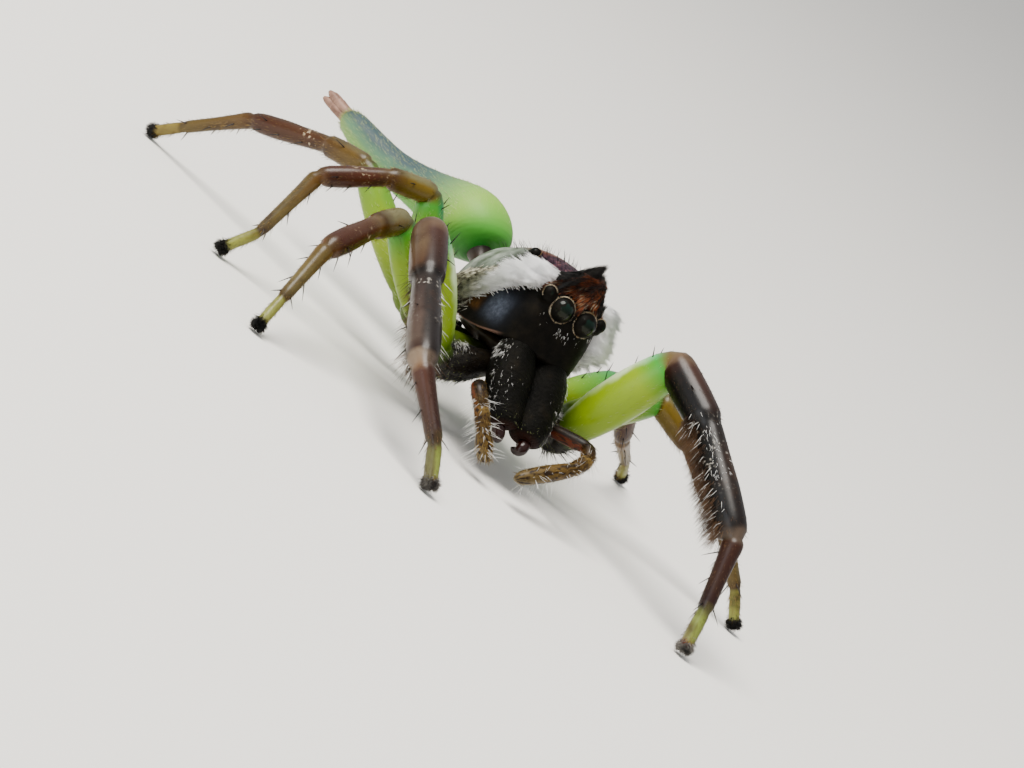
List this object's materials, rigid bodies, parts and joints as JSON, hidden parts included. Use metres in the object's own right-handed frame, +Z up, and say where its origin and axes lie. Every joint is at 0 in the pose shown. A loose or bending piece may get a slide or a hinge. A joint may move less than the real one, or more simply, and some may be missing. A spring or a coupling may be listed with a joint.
{
  "type": "green jumping spider",
  "caption": "Still life-size model of a male green jumping spider: black topknot crest, white side whiskers, dark face with round eyes, long dark front legs and a slim green abdomen.",
  "frame": {"origin": "on the floor, under the middle of the model's outer box", "axes": "+X is the spider's left side, -Y is where its face points, +Z is up; all eight feet stand on z = 0"},
  "size_m": [0.0256, 0.0254, 0.0082],
  "materials": {
    "carapace": "glossy dark horn with a coat of short scales and hair",
    "underside": "satin",
    "abdomen": "satin with fine short hair",
    "spinnerets": "satin",
    "chelicerae": "glossy, finely wrinkled",
    "fangs": "glossy",
    "palps": "satin with long hair",
    "eyes": "polished like a lens",
    "coxae": "satin",
    "femora": "glossy",
    "front_shins": "glossy with fringes of hair",
    "shins": "glossy with speckles and spines",
    "front_feet": "satin",
    "feet": "satin"
  },
  "bodies": {
    "root": {"carapace": "carapace", "sternum": "underside", "pedicel": "underside", "abdomen": "abdomen", "spinnerets": "spinnerets", "chelicera_L": "chelicerae", "fang_L": "fangs", "palp_L_arm": "palps", "palp_L_hand": "palps", "eye_front_middle_L": "eyes", "eye_front_side_L": "eyes", "eye_small_side_L": "eyes", "eye_rear_side_L": "eyes", "chelicera_R": "chelicerae", "fang_R": "fangs", "palp_R_arm": "palps", "palp_R_hand": "palps", "eye_front_middle_R": "eyes", "eye_front_side_R": "eyes", "eye_small_side_R": "eyes", "eye_rear_side_R": "eyes", "leg_R1_coxa": "coxae", "leg_R1_femur": "femora", "leg_R1_tibia": "front_shins", "leg_R1_foot": "front_feet", "leg_R2_coxa": "coxae", "leg_R2_femur": "femora", "leg_R2_tibia": "shins", "leg_R2_foot": "feet", "leg_R3_coxa": "coxae", "leg_R3_femur": "femora", "leg_R3_tibia": "shins", "leg_R3_foot": "feet", "leg_R4_coxa": "coxae", "leg_R4_femur": "femora", "leg_R4_tibia": "shins", "leg_R4_foot": "feet", "leg_L1_coxa": "coxae", "leg_L1_femur": "femora", "leg_L1_tibia": "front_shins", "leg_L1_foot": "front_feet", "leg_L2_coxa": "coxae", "leg_L2_femur": "femora", "leg_L2_tibia": "shins", "leg_L2_foot": "feet", "leg_L3_coxa": "coxae", "leg_L3_femur": "femora", "leg_L3_tibia": "shins", "leg_L3_foot": "feet", "leg_L4_coxa": "coxae", "leg_L4_femur": "femora", "leg_L4_tibia": "shins", "leg_L4_foot": "feet"}
  },
  "joints": []
}
